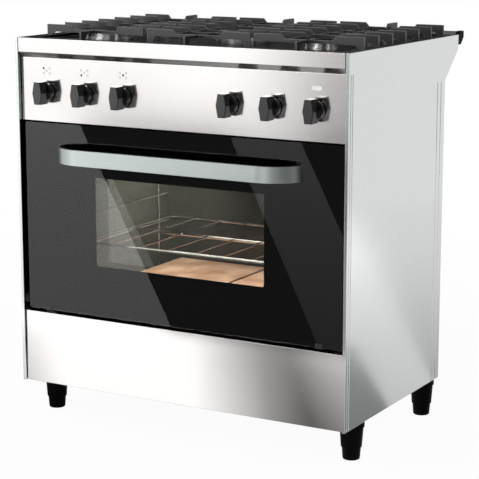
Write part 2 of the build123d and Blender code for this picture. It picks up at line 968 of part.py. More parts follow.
def hob_top():
    plate = slab(-hob_half, hob_half, hob_front, hob_depth, rim_height - hob_sheet, rim_height)
    under = basin_floor - hob_sheet
    wall = hob_sheet
    side = basin_half + wall
    tub = slab(-side, side, basin_start - wall, basin_end + wall, under, rim_height)
    plate += fillet(tub.edges().filter_by(Axis.Z), basin_corner + wall)
    well = slab(-basin_half, basin_half, basin_start, basin_end, basin_floor, rim_height + cut_margin)
    plate -= fillet(well.edges().filter_by(Axis.Z), basin_corner)
    turn_low = rim_height - hob_rear_turn
    plate += slab(-hob_half, hob_half, hob_depth - hob_sheet, hob_depth, turn_low, rim_height)
    for x, depth, radius in burners:
        hole = radius - cup_bowl_inset + running_clearance
        low = under - cut_margin
        high = basin_floor + cut_margin
        plate -= rod((x, depth, low), (x, depth, high), hole)
        for hole_x, hole_depth in hob_bores(x, depth, radius):
            hole = electrode_radius + seat_clearance
            plate -= rod((hole_x, hole_depth, low), (hole_x, hole_depth, high), hole)
    return plate


def burner_cup(x, depth, radius):
    bowl = radius - cup_bowl_inset
    flange_top = basin_floor + cup_flange
    bowl_low = basin_floor - cup_bowl_depth
    stem_low = outlet_z - cup_stem_radius
    cup = rod((x, depth, basin_floor), (x, depth, flange_top), radius + cup_flange_lap)
    cup += rod((x, depth, bowl_low), (x, depth, basin_floor), bowl)
    cup -= rod((x, depth, bowl_low + cup_wall), (x, depth, flange_top), bowl - cup_wall)
    cup += rod((x, depth, stem_low), (x, depth, bowl_low), cup_stem_radius)
    cup += rod((x, depth - cup_inlet_reach, outlet_z), (x, depth, outlet_z), cup_inlet_radius)
    return cup


def burner_crown(x, depth, radius):
    low = basin_floor + cup_flange
    high = low + crown_height
    crown = rod((x, depth, low), (x, depth, high), radius)
    crown -= rod((x, depth, low), (x, depth, high), radius - crown_wall)
    count = int(2 * math.pi * radius / crown_slot_pitch)
    slots = []
    for i in range(count):
        turn = Rot(0, 0, i * 360 / count)
        slot = Pos(radius, 0, 0) * Box(2 * (crown_wall + cut_margin), crown_slot, crown_slot_height)
        slots.append(Location(place(x, depth, high - crown_slot_height / 2)) * turn * slot)
    return crown - slots


def burner_cap(x, depth, radius):
    low = basin_floor + cup_flange + crown_height
    cap = rod((x, depth, low), (x, depth, low + cap_height), radius + cap_overhang)
    top_edge = cap.edges().filter_by(GeomType.CIRCLE).sort_by(Axis.Z)[-1]
    return fillet(top_edge, cap_edge)


def pin_collar(x, depth):
    top = basin_floor + electrode_collar_height
    return rod((x, depth, basin_floor), (x, depth, top), electrode_collar)


def spark_electrode(x, depth):
    top = basin_floor + electrode_height
    pin = rod((x, depth, basin_floor - electrode_tail), (x, depth, top), electrode_radius)
    pin += pin_collar(x, depth)
    return pin + rod((x, depth, top), (x, depth, top + electrode_tip_length), electrode_tip)


def thermocouple(x, depth):
    top = basin_floor + electrode_height
    pin = rod((x, depth, basin_floor - electrode_tail), (x, depth, top), thermocouple_radius)
    return pin + pin_collar(x, depth)


def burner_reach(radius):
    return radius + cap_overhang + burner_clearance


def blade_half(middle, side, foot_z, stop):
    # one end of a cross blade, from its outer end to the burner or to the middle of the grate
    low_top = low_blades
    under = under_blades
    outer = grate_width / 2
    finger = outer - finger_length
    if stop > 0:
        inner_end = [(stop, under), (stop, low_top), (stop + finger_ramp, grate_top)]
    else:
        inner_end = [(0, under), (0, low_top), (finger - finger_ramp, low_top), (finger, grate_top)]
    outline = inner_end + [(outer, grate_top), (outer, foot_z)]
    if foot_z < under:
        outline += [(outer - foot_width, foot_z), (outer - foot_width - foot_ramp, under)]
    return [(middle + side * x, z) for x, z in outline]


def spine_plate(middle, outline):
    return side_plate(outline, middle - blade_thickness / 2, middle + blade_thickness / 2)


def grate(middle, left_foot, right_foot):
    stops = {depth: burner_reach(radius) for x, depth, radius in burners if x == middle}
    under = under_blades
    low_top = low_blades
    bar_x = max(stops.values()) + bar_clearance
    thick = blade_thickness / 2
    frame = None
    for x in (middle - bar_x, middle + bar_x):
        bar = slab(x - thick, x + thick, blade_depths[0], blade_depths[-1], under, low_top)
        frame = bar if frame is None else frame + bar
    for i, depth in enumerate(blade_depths):
        outermost = i in (0, blade_count - 1)
        for side, foot in ((-1, left_foot), (1, right_foot)):
            foot_z = foot if outermost or foot == rim_height else under
            outline = blade_half(middle, side, foot_z, stops.get(depth, 0))
            frame += front_plate(outline, depth - thick, depth + thick)
    front = spine_front
    rear = hob_depth - spine_rear
    ends = [front, rear]
    for depth, reach in stops.items():
        ends += [depth - reach, depth + reach]
    ends = sorted(ends)
    for start, end in zip(ends[::2], ends[1::2]):
        frame += spine_plate(middle, [(start, under), (end, under), (end, low_top), (start, low_top)])
    leg = [(front, basin_floor), (front + foot_width, basin_floor), (front + foot_width + foot_ramp, under)]
    frame += spine_plate(middle, leg + [(front, under)])
    leg = [(rear, basin_floor), (rear - foot_width, basin_floor), (rear - foot_width - foot_ramp, under)]
    frame += spine_plate(middle, leg + [(rear, under)])
    ramp = rear - horn_length - finger_ramp
    horn = [(ramp, low_top), (rear - horn_length, grate_top), (rear, grate_top), (rear, low_top)]
    frame += spine_plate(middle, horn)
    return frame


def rail_profile(front, grow):
    # the rail's section, sloped at the top of its front and under its rear
    rear = hob_depth + rail_depth - cap_lap + grow
    high = rim_height + rail_rise + grow
    low = rim_height + rail_rise - rail_height - grow
    return [
        (front, low),
        (rear - rail_under_slope, low),
        (rear, low + rail_under_slope),
        (rear, high),
        (front + rail_top_slope, high),
        (front, high - rail_top_slope),
    ]


def rear_rail():
    end = half - cap_width
    tube = side_plate(rail_profile(hob_depth, 0), -end, end)
    return tube - side_plate(rail_profile(hob_depth + rail_sheet, -rail_sheet), -end, end)


def rail_end_cap():
    block = side_plate(rail_profile(hob_depth, cap_lap), half - cap_width, half)
    rear_edges = block.faces().sort_by(Axis.Y)[-1].edges().filter_by(Axis.X)
    return fillet(rear_edges, cap_fillet)


# Feet

def foot_places():
    x = half - foot_side_inset
    rear = body_depth - foot_rear_inset
    return {
        "front_left": (-x, foot_front_inset),
        "front_right": (x, foot_front_inset),
        "rear_left": (-x, rear),
        "rear_right": (x, rear),
    }


def foot_sleeve(x, depth):
    collar_low = foot_height - foot_collar_height
    sleeve = rod((x, depth, collar_low), (x, depth, foot_height), foot_collar_radius)
    sleeve += cone(x, depth, foot_pad_height, collar_low, foot_cone_bottom, foot_cone_top)
    bore = foot_shank_radius + running_clearance
    return sleeve - rod((x, depth, foot_pad_height), (x, depth, foot_pad_height + foot_bore_depth), bore)


def levelling_foot(x, depth):
    top = foot_pad_height - seat_clearance
    pad = cone(x, depth, 0, top, foot_pad_bottom, foot_pad_top)
    lower_edge = pad.edges().filter_by(GeomType.CIRCLE).sort_by(Axis.Z)[0]
    pad = fillet(lower_edge, foot_pad_fillet)
    return pad + rod((x, depth, top), (x, depth, top + foot_shank_length), foot_shank_radius)


def main():
    os.makedirs("parts", exist_ok=True)
    panel = side_panel()
    save("side_panel_right", panel)
    save("side_panel_left", mirrored(panel))
    save("back_panel", back_panel())
    save("back_panel_screws", *back_panel_screws())
    save("base_tray", base_tray())
    save("burner_shield", burner_shield())
    save("front_frame", front_frame())
    save("hob_front_rail", hob_front_rail())
    save("control_panel", control_panel())
    save("storage_flap", storage_flap())
    save("flap_pins", *pair(flap_pin()))

    save("gas_manifold", gas_manifold())
    save("gas_taps", *[tap(x) for x in knob_places])
    for number, x in enumerate(knob_places, start=1):
        save(f"spindle_{number}", spindle(x))
        save(f"knob_{number}", knob(x))
    pipes = [burner_pipe(x, burner) for x, burner in zip(knob_places, burners)]
    save("gas_pipes", *pipes, oven_pipe(knob_places[-1]))

    save("oven_liner", oven_liner())
    save("oven_insulation", oven_insulation())
    save("refractory_tiles", *pair(refractory_tile()))
    save("rack_guides", *pair(rack_guide()))
    save("oven_rack", oven_rack())
    save("oven_burner", oven_burner())
    save("door_seal", door_seal())

    save("door_glass", door_glass())
    save("door_print", door_print())
    save("door_frame", door_frame())
    save("door_inner_glass", door_inner_glass())
    save("door_handle", door_handle())
    save("handle_backing", handle_backing())
    save("handle_screws", *pair(handle_screw()))
    save("hinge_leaves", *pair(hinge_leaf()))
    save("hinge_brackets", *pair(hinge_bracket()))
    save("hinge_pins", *pair(hinge_pin()))
    save("door_clips", *pair(door_clip()))

    save("hob_top", hob_top())
    save("burner_cups", *[burner_cup(*burner) for burner in burners])
    save("burner_crowns", *[burner_crown(*burner) for burner in burners])
    save("burner_caps", *[burner_cap(*burner) for burner in burners])
    bores = [hob_bores(*burner) for burner in burners]
    save("spark_electrodes", *[spark_electrode(*spark) for spark, _ in bores])
    save("thermocouples", *[thermocouple(*probe) for _, probe in bores])
    save("grate_left", grate(grate_middles[0], rim_height, under_blades))
    save("grate_centre", grate(grate_middles[1], basin_floor, basin_floor))
    save("grate_right", grate(grate_middles[2], under_blades, rim_height))
    save("rear_rail", rear_rail())
    save("rail_end_caps", *pair(rail_end_cap()))

    places = foot_places()
    save("foot_sleeves", *[foot_sleeve(*spot) for spot in places.values()])
    for name, spot in places.items():
        save(f"foot_{name}", levelling_foot(*spot))


main()
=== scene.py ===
import bpy
import bmesh
import math
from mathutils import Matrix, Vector


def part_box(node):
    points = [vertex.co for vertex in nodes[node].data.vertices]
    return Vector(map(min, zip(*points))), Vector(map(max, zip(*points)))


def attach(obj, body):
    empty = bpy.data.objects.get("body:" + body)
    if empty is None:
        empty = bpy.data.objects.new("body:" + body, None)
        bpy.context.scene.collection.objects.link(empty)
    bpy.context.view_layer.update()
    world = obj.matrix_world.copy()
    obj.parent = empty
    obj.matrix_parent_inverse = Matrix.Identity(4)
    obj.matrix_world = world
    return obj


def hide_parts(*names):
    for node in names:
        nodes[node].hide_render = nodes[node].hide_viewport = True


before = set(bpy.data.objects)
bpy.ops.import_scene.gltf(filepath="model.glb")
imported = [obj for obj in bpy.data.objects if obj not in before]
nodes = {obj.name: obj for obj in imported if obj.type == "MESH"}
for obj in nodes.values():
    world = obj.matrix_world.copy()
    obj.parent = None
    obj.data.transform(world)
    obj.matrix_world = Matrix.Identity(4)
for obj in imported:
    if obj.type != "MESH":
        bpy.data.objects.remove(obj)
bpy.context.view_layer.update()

print("frame:", len(nodes), "nodes")


def linear(hexText):
    # sRGB hex to the linear numbers that shaders take
    parts = [int(hexText[i:i + 2], 16) / 255 for i in (1, 3, 5)]
    return [c / 12.92 if c <= 0.04045 else ((c + 0.055) / 1.055) ** 2.4 for c in parts] + [1.0]


def addNode(tree, kind, inputs=None, **settings):
    # inputs go by name, or by number where a node has several of one name
    node = tree.nodes.new(kind)
    for name, value in settings.items():
        setattr(node, name, value)
    for name, value in (inputs or {}).items():
        if isinstance(value, bpy.types.NodeSocket):
            tree.links.new(value, node.inputs[name])
        else:
            node.inputs[name].default_value = value
    return node


def cells(mm):
    return 1000 / mm  # pattern cells in a metre for a grain this many millimetres wide


# the Mix node's colour sockets go by number, because its other kinds use the same names
mixFactor, mixFrom, mixTo, mixResult = 0, 6, 7, 2


def startMaterial(name):
    material = bpy.data.materials.new(name)
    material.use_nodes = True
    material.node_tree.nodes.clear()
    return material, material.node_tree


# what all grained finishes share: the noise's own roughness, the part of its range that moves the gloss,
# and how far the softened normal has turned where an edge starts to be painted paler, as wear and as a
# painted highlight, and where it is fully so
grainShare = {"noiseRoughness": 0.6, "glossFrom": 0.25, "glossTo": 0.75, "edgeSamples": 4,
              "wearAndHighlightStart": 0.99, "wearAndHighlightFull": 0.8}


def makeSurface(look):
    # grain in two tones that also moves the roughness and the relief, with softened edges
    material, tree = startMaterial(look["name"])
    coords = addNode(tree, "ShaderNodeTexCoord")
    scale = [cells(mm) for mm in look["grainMm"]]
    grainSpace = addNode(tree, "ShaderNodeMapping", {"Vector": coords.outputs["Object"], "Scale": scale})
    grain = addNode(tree, "ShaderNodeTexNoise",
                    {"Vector": grainSpace.outputs["Vector"], "Scale": 1.0, "Detail": look["detail"],
                     "Roughness": grainShare["noiseRoughness"]})
    tone = addNode(tree, "ShaderNodeMix",
                   {mixFactor: grain.outputs["Fac"], mixFrom: linear(look["dark"]),
                    mixTo: linear(look["light"])}, data_type="RGBA")
    low, high = look["roughness"]
    rough = addNode(tree, "ShaderNodeMapRange",
                    {"Value": grain.outputs["Fac"], "From Min": grainShare["glossFrom"],
                     "From Max": grainShare["glossTo"], "To Min": low, "To Max": high})
    edge = addNode(tree, "ShaderNodeBevel", {"Radius": look["edgeMm"] / 1000},
                   samples=grainShare["edgeSamples"])
    relief = addNode(tree, "ShaderNodeBump",
                     {"Height": grain.outputs["Fac"], "Strength": 1.0, "Distance": look["reliefMm"] / 1000,
                      "Normal": edge.outputs["Normal"]})
    colour = tone.outputs[mixResult]
    if "wearAndHighlight" in look:
        # the softened normal leaves the face's own one only along an edge, which is painted paler there:
        # partly wear, partly a painted highlight
        face = addNode(tree, "ShaderNodeNewGeometry")
        turned = addNode(tree, "ShaderNodeVectorMath",
                         {0: edge.outputs["Normal"], 1: face.outputs["Normal"]}, operation="DOT_PRODUCT")
        wearAndHighlightMask = addNode(tree, "ShaderNodeMapRange",
                         {"Value": turned.outputs["Value"], "From Min": grainShare["wearAndHighlightStart"],
                          "From Max": grainShare["wearAndHighlightFull"], "To Min": 0.0, "To Max": look["wearAndHighlightShare"]})
        wearAndHighlight = addNode(tree, "ShaderNodeMix",
                       {mixFactor: wearAndHighlightMask.outputs["Result"], mixFrom: colour, mixTo: linear(look["wearAndHighlight"])},
                       data_type="RGBA")
        colour = wearAndHighlight.outputs[mixResult]
    shader = addNode(tree, "ShaderNodeBsdfPrincipled",
                     {"Base Color": colour, "Roughness": rough.outputs["Result"],
                      "Normal": relief.outputs["Normal"], **look["sockets"]})
    addNode(tree, "ShaderNodeOutputMaterial", {"Surface": shader.outputs["BSDF"]})
    return material


# Stainless steel, brushed along the width: grey-white, mirrors sharply sideways and smears up and down.
# Real grit lines are about 0.1 mm apart, drawn 1.5 mm wide so that they show.
brushedStainless = {
    "name": "stainless steel, brushed", "light": "#DCD9D8", "dark": "#D5D2D0",
    "grainMm": (260, 260, 1.5), "detail": 3, "roughness": (0.11, 0.15), "reliefMm": 0.001, "edgeMm": 0.8,
    "sockets": {"Metallic": 1.0, "Anisotropic": 0.25, "Anisotropic Rotation": 0.25},
}

# Prepainted steel, silver coil coated: a light metallic grey that mirrors softly, with a very fine
# orange peel, and edges painted white, mostly a painted highlight and partly wear.
coatedSide = {
    "name": "steel sheet, silver coil coated", "light": "#D6D9D8", "dark": "#CED1D0",
    "wearAndHighlight": "#FFFFFF", "wearAndHighlightShare": 0.9,
    "grainMm": (6, 6, 6), "detail": 2, "roughness": (0.11, 0.15), "reliefMm": 0.003, "edgeMm": 1.2,
    "sockets": {"Metallic": 1.0},
}

# Steel sheet, vitreous enamel, gloss black: deep black with bright reflections, a faint orange peel
# and pale edges, painted as wear and as a highlight.
glossEnamel = {
    "name": "steel sheet, gloss black enamel", "light": "#101011", "dark": "#0A0A0B",
    "wearAndHighlight": "#A8A8A5", "wearAndHighlightShare": 0.8,
    "grainMm": (9, 9, 9), "detail": 2, "roughness": (0.16, 0.24), "reliefMm": 0.02, "edgeMm": 1.2,
    "sockets": {"IOR": 1.5},
}

# Steel sheet, satin black enamel, as baked on the door's metal: charcoal with a broad soft sheen
# and edges painted greyer, as wear and as a highlight.
doorEnamel = {
    "name": "steel sheet, satin black enamel", "light": "#1C1C1D", "dark": "#131314",
    "wearAndHighlight": "#6A6A68", "wearAndHighlightShare": 0.5,
    "grainMm": (5, 5, 5), "detail": 3, "roughness": (0.3, 0.4), "reliefMm": 0.015, "edgeMm": 0.8,
    "sockets": {"IOR": 1.5},
}

# Pressed steel bars, matt black enamel: charcoal with a low sheen, a slightly gritty face and pale
# edges, painted as wear and as highlights on the bar ends. The grit is 0.3 mm, drawn 2 mm so that it shows.
mattEnamel = {
    "name": "steel bar, matt black enamel", "light": "#313132", "dark": "#232324",
    "wearAndHighlight": "#C2C2BE", "wearAndHighlightShare": 0.9,
    "grainMm": (2, 2, 2), "detail": 4, "roughness": (0.3, 0.42), "reliefMm": 0.03, "edgeMm": 1.5,
    "sockets": {"IOR": 1.5},
}

# Aluminium strip, anodised and brushed lengthwise: cool light grey with long soft streaks, and paler edges
# painted as wear and as a highlight.
anodisedStrip = {
    "name": "aluminium strip, brushed and anodised", "light": "#B1B7B5", "dark": "#9DA4A2",
    "wearAndHighlight": "#C9CDCB", "wearAndHighlightShare": 0.5,
    "grainMm": (140, 60, 1.2), "detail": 3, "roughness": (0.32, 0.42), "reliefMm": 0.004, "edgeMm": 0.7,
    "sockets": {"Metallic": 1.0, "Anisotropic": 0.5, "Anisotropic Rotation": 0.25},
}

# Die-cast aluminium, shot blasted: silver with a fine mottled grain, its edges painted brighter as wear and
# as a highlight.
dieCast = {
    "name": "aluminium, die cast and blasted", "light": "#DADBDA", "dark": "#BEC0BF",
    "wearAndHighlight": "#F0F0EE", "wearAndHighlightShare": 0.6,
    "grainMm": (1.6, 1.6, 1.6), "detail": 4, "roughness": (0.2, 0.32), "reliefMm": 0.03, "edgeMm": 0.5,
    "sockets": {"Metallic": 1.0},
}

# Nylon, injection moulded and spark textured: near black and dull, its edges painted a little greyer as wear
# and as a highlight.
mouldedNylon = {
    "name": "nylon, moulded with a fine texture", "light": "#09090A", "dark": "#050506",
    "wearAndHighlight": "#1C1C1C", "wearAndHighlightShare": 0.5,
    "grainMm": (1.5, 1.5, 1.5), "detail": 3, "roughness": (0.38, 0.5), "reliefMm": 0.02, "edgeMm": 1.0,
    "sockets": {"IOR": 1.53, "Specular IOR Level": 0.03},
}

# Phenolic resin, compression moulded: near black, smooth, with tight highlights painted along the edges,
# partly as wear.
mouldedPhenolic = {
    "name": "phenolic resin, moulded satin", "light": "#0C0C0D", "dark": "#070708",
    "wearAndHighlight": "#2A2A2A", "wearAndHighlightShare": 0.4,
    "grainMm": (2.5, 2.5, 2.5), "detail": 3, "roughness": (0.16, 0.22), "reliefMm": 0.006, "edgeMm": 0.6,
    "sockets": {"IOR": 1.66},
}

# Steel wire, chrome plated: bright lines with a soft gloss, a little uneven from drawing the wire.
chromedWire = {
    "name": "steel wire, chrome plated", "light": "#ECECEA", "dark": "#DCDCDA",
    "grainMm": (12, 12, 12), "detail": 2, "roughness": (0.14, 0.24), "reliefMm": 0.01, "edgeMm": 0.4,
    "sockets": {"Metallic": 1.0},
}

# Steel, zinc plated and passivated: cool grey with a faint yellow cast in patches.
zincPlated = {
    "name": "steel, zinc plated", "light": "#C3C4BD", "dark": "#A9ACA9",
    "grainMm": (7, 7, 7), "detail": 3, "roughness": (0.28, 0.42), "reliefMm": 0.01, "edgeMm": 0.5,
    "sockets": {"Metallic": 1.0},
}

# Brass, turned: warm yellow with fine turning marks.
turnedBrass = {
    "name": "brass, turned", "light": "#D9B978", "dark": "#C09A55",
    "grainMm": (2, 0.8, 2), "detail": 3, "roughness": (0.24, 0.36), "reliefMm": 0.01, "edgeMm": 0.4,
    "sockets": {"Metallic": 1.0},
}

# Alumina ceramic, sintered and glazed: clean warm white.
glazedAlumina = {
    "name": "alumina ceramic, glazed", "light": "#F0EEE8", "dark": "#E2DFD6",
    "grainMm": (3, 3, 3), "detail": 2, "roughness": (0.2, 0.3), "reliefMm": 0.01, "edgeMm": 0.3,
    "sockets": {"IOR": 1.7},
}

# Silicone rubber, extruded: black-grey, soft and dull.
siliconeCord = {
    "name": "silicone rubber, extruded", "light": "#2C2B2A", "dark": "#1F1E1E",
    "grainMm": (4, 4, 4), "detail": 3, "roughness": (0.55, 0.7), "reliefMm": 0.05, "edgeMm": 1.5,
    "sockets": {"IOR": 1.41},
}

# Ceramic frit, screen printed and fired onto glass: solid black with the faint texture of the screen.
firedFrit = {
    "name": "ceramic frit, printed and fired", "light": "#0B0B0C", "dark": "#060607",
    "grainMm": (1, 1, 1), "detail": 2, "roughness": (0.3, 0.4), "reliefMm": 0.004, "edgeMm": 0.05,
    "sockets": {"IOR": 1.5, "Specular IOR Level": 0.0},  # fused to the glass, so no gloss of its own
}

# Ink, pad printed: dark grey marks, a little uneven in tone.
darkInk = {
    "name": "ink, pad printed dark grey", "light": "#4A4A4B", "dark": "#343435",
    "grainMm": (0.8, 0.8, 0.8), "detail": 3, "roughness": (0.45, 0.6), "reliefMm": 0.004, "edgeMm": 0.03,
    "sockets": {"IOR": 1.5},
}

# Ink, pad printed white, laid thick enough to hide the steel.
whiteInk = {
    "name": "ink, pad printed white", "light": "#FAFAF8", "dark": "#EFEFEC",
    "grainMm": (0.8, 0.8, 0.8), "detail": 3, "roughness": (0.35, 0.5), "reliefMm": 0.004, "edgeMm": 0.03,
    "sockets": {"IOR": 1.5},
}

# Steel sheet, hot-dip galvanised: grey with zinc crystals, each catching the light its own way.
galvanised = {"name": "steel sheet, hot-dip galvanised", "light": "#B9BDBF", "dark": "#95999C",
              "spangleMm": 9, "roughness": (0.3, 0.5), "reliefMm": 0.1, "reliefStrength": 0.3}


def makeGalvanised():
    look = galvanised
    material, tree = startMaterial(look["name"])
    coords = addNode(tree, "ShaderNodeTexCoord")
    spangle = addNode(tree, "ShaderNodeTexVoronoi",
                      {"Vector": coords.outputs["Object"], "Scale": cells(look["spangleMm"])})
    level = addNode(tree, "ShaderNodeSeparateColor", {"Color": spangle.outputs["Color"]})
    tone = addNode(tree, "ShaderNodeMix",
                   {mixFactor: level.outputs["Red"], mixFrom: linear(look["dark"]),
                    mixTo: linear(look["light"])}, data_type="RGBA")
    low, high = look["roughness"]
    rough = addNode(tree, "ShaderNodeMapRange",
                    {"Value": level.outputs["Green"], "To Min": low, "To Max": high})
    relief = addNode(tree, "ShaderNodeBump",
                     {"Height": spangle.outputs["Distance"], "Strength": look["reliefStrength"],
                      "Distance": look["reliefMm"] / 1000})
    shader = addNode(tree, "ShaderNodeBsdfPrincipled",
                     {"Base Color": tone.outputs[mixResult], "Roughness": rough.outputs["Result"],
                      "Metallic": 1.0, "Normal": relief.outputs["Normal"]})
    addNode(tree, "ShaderNodeOutputMaterial", {"Surface": shader.outputs["BSDF"]})
    return material


# Steel sheet, ground-coat enamel: dark grey glaze flecked with paler specks.
# The specks are about 0.5 mm, drawn at 3 mm spacing so that they show.
speckledEnamel = {"name": "steel sheet, speckled oven enamel", "ground": "#353632", "speck": "#6F6E68",
                  "speckMm": 3, "speckCore": 0.12, "speckRim": 0.24, "speckCover": 0.8,
                  "roughness": (0.18, 0.3), "reliefMm": 0.1, "reliefStrength": 0.25, "ior": 1.5}


def makeSpeckledEnamel():
    look = speckledEnamel
    material, tree = startMaterial(look["name"])
    coords = addNode(tree, "ShaderNodeTexCoord")
    spots = addNode(tree, "ShaderNodeTexVoronoi",
                    {"Vector": coords.outputs["Object"], "Scale": cells(look["speckMm"])})
    mask = addNode(tree, "ShaderNodeMapRange",
                   {"Value": spots.outputs["Distance"], "From Min": look["speckCore"],
                    "From Max": look["speckRim"], "To Min": look["speckCover"], "To Max": 0.0})
    tone = addNode(tree, "ShaderNodeMix",
                   {mixFactor: mask.outputs["Result"], mixFrom: linear(look["ground"]),
                    mixTo: linear(look["speck"])}, data_type="RGBA")
    low, high = look["roughness"]
    rough = addNode(tree, "ShaderNodeMapRange",
                    {"Value": spots.outputs["Distance"], "To Min": low, "To Max": high})
    relief = addNode(tree, "ShaderNodeBump",
                     {"Height": spots.outputs["Distance"], "Strength": look["reliefStrength"],
                      "Distance": look["reliefMm"] / 1000})
    shader = addNode(tree, "ShaderNodeBsdfPrincipled",
                     {"Base Color": tone.outputs[mixResult], "Roughness": rough.outputs["Result"],
                      "IOR": look["ior"], "Normal": relief.outputs["Normal"]})
    addNode(tree, "ShaderNodeOutputMaterial", {"Surface": shader.outputs["BSDF"]})
    return material


# Fireclay tile, pressed and fired unglazed: orange-brown, blotched by the kiln, with sandy pits.
fireclay = {"name": "fireclay, pressed and fired", "light": "#D3B39A", "dark": "#A47E63", "pit": "#82604E",
            "blotchMm": 60, "blotchDetail": 3.0, "blotchRange": (0.3, 0.7), "sandMm": 2.5, "sandDetail": 4.0,
            "pitRange": (0.3, 0.42), "pitCover": 0.7, "edgeMm": 1.5, "reliefMm": 0.3, "reliefStrength": 0.6,
            "roughness": 0.85, "ior": 1.5}


def makeFireclay():
    look = fireclay
    material, tree = startMaterial(look["name"])
    coords = addNode(tree, "ShaderNodeTexCoord")
    blotch = addNode(tree, "ShaderNodeTexNoise",
                     {"Vector": coords.outputs["Object"], "Scale": cells(look["blotchMm"]),
                      "Detail": look["blotchDetail"]})
    sand = addNode(tree, "ShaderNodeTexNoise",
                   {"Vector": coords.outputs["Object"], "Scale": cells(look["sandMm"]),
                    "Detail": look["sandDetail"]})
    low, high = look["blotchRange"]
    kiln = addNode(tree, "ShaderNodeMapRange",
                   {"Value": blotch.outputs["Fac"], "From Min": low, "From Max": high})
    body = addNode(tree, "ShaderNodeMix",
                   {mixFactor: kiln.outputs["Result"], mixFrom: linear(look["dark"]),
                    mixTo: linear(look["light"])}, data_type="RGBA")
    low, high = look["pitRange"]
    pitMask = addNode(tree, "ShaderNodeMapRange",
                      {"Value": sand.outputs["Fac"], "From Min": low, "From Max": high,
                       "To Min": look["pitCover"], "To Max": 0.0})
    tone = addNode(tree, "ShaderNodeMix",
                   {mixFactor: pitMask.outputs["Result"], mixFrom: body.outputs[mixResult],
                    mixTo: linear(look["pit"])}, data_type="RGBA")
    edge = addNode(tree, "ShaderNodeBevel", {"Radius": look["edgeMm"] / 1000},
                   samples=grainShare["edgeSamples"])
    relief = addNode(tree, "ShaderNodeBump",
                     {"Height": sand.outputs["Fac"], "Strength": look["reliefStrength"],
                      "Distance": look["reliefMm"] / 1000, "Normal": edge.outputs["Normal"]})
    shader = addNode(tree, "ShaderNodeBsdfPrincipled",
                     {"Base Color": tone.outputs[mixResult], "Roughness": look["roughness"],
                      "IOR": look["ior"], "Normal": relief.outputs["Normal"]})
    addNode(tree, "ShaderNodeOutputMaterial", {"Surface": shader.outputs["BSDF"]})
    return material


# Mineral wool, needled slab: straw yellow with long tangled fibres and hollows between them.
mineralWool = {"name": "mineral wool, needled slab", "light": "#C9B98A", "dark": "#7E704C",
               "fibreMm": (14, 14, 1.2), "detail": 6.0, "tangle": 1.5, "reliefMm": 2, "reliefStrength": 0.9,
               "roughness": 0.95, "sheen": 0.3}


def makeMineralWool():
    look = mineralWool
    material, tree = startMaterial(look["name"])
    coords = addNode(tree, "ShaderNodeTexCoord")
    scale = [cells(mm) for mm in look["fibreMm"]]
    along = addNode(tree, "ShaderNodeMapping", {"Vector": coords.outputs["Object"], "Scale": scale})
    fibre = addNode(tree, "ShaderNodeTexNoise",
                    {"Vector": along.outputs["Vector"], "Scale": 1.0, "Detail": look["detail"],
                     "Distortion": look["tangle"]})
    tone = addNode(tree, "ShaderNodeMix",
                   {mixFactor: fibre.outputs["Fac"], mixFrom: linear(look["dark"]),
                    mixTo: linear(look["light"])}, data_type="RGBA")
    relief = addNode(tree, "ShaderNodeBump",
                     {"Height": fibre.outputs["Fac"], "Strength": look["reliefStrength"],
                      "Distance": look["reliefMm"] / 1000})
    shader = addNode(tree, "ShaderNodeBsdfPrincipled",
                     {"Base Color": tone.outputs[mixResult], "Roughness": look["roughness"],
                      "Sheen Weight": look["sheen"], "Normal": relief.outputs["Normal"]})
    addNode(tree, "ShaderNodeOutputMaterial", {"Surface": shader.outputs["BSDF"]})
    return material


# Soda-lime glass, float made and tempered: clear with a trace of grey, and the faint roller wave
# that tempering leaves, which bends long reflections a little.
outerPane = {"name": "soda-lime glass, float and tempered", "tint": ("#E9E9E6", "#EEEEEC"), "ior": 1.52,
             "waveMm": (400, 400, 260), "waveDetail": 1.0, "reliefMm": 0.02, "reliefStrength": 0.5,
             "roughness": (0.0, 0.02)}
innerPane = {"name": "soda-lime glass, tempered inner pane", "tint": ("#E4E4E1", "#EAEAE7"), "ior": 1.52,
             "waveMm": (300, 300, 200), "waveDetail": 1.0, "reliefMm": 0.02, "reliefStrength": 0.5,
             "roughness": (0.0, 0.03)}


def makeGlass(look):
    material, tree = startMaterial(look["name"])
    coords = addNode(tree, "ShaderNodeTexCoord")
    scale = [cells(mm) for mm in look["waveMm"]]
    waveSpace = addNode(tree, "ShaderNodeMapping", {"Vector": coords.outputs["Object"], "Scale": scale})
    wave = addNode(tree, "ShaderNodeTexNoise",
                   {"Vector": waveSpace.outputs["Vector"], "Scale": 1.0, "Detail": look["waveDetail"]})
    dark, light = look["tint"]
    tone = addNode(tree, "ShaderNodeMix",
                   {mixFactor: wave.outputs["Fac"], mixFrom: linear(dark), mixTo: linear(light)},
                   data_type="RGBA")
    low, high = look["roughness"]
    rough = addNode(tree, "ShaderNodeMapRange", {"Value": wave.outputs["Fac"], "To Min": low, "To Max": high})
    relief = addNode(tree, "ShaderNodeBump",
                     {"Height": wave.outputs["Fac"], "Strength": look["reliefStrength"],
                      "Distance": look["reliefMm"] / 1000})
    shader = addNode(tree, "ShaderNodeBsdfPrincipled",
                     {"Base Color": tone.outputs[mixResult], "Roughness": rough.outputs["Result"],
                      "IOR": look["ior"], "Transmission Weight": 1.0, "Normal": relief.outputs["Normal"]})
    addNode(tree, "ShaderNodeOutputMaterial", {"Surface": shader.outputs["BSDF"]})
    return material


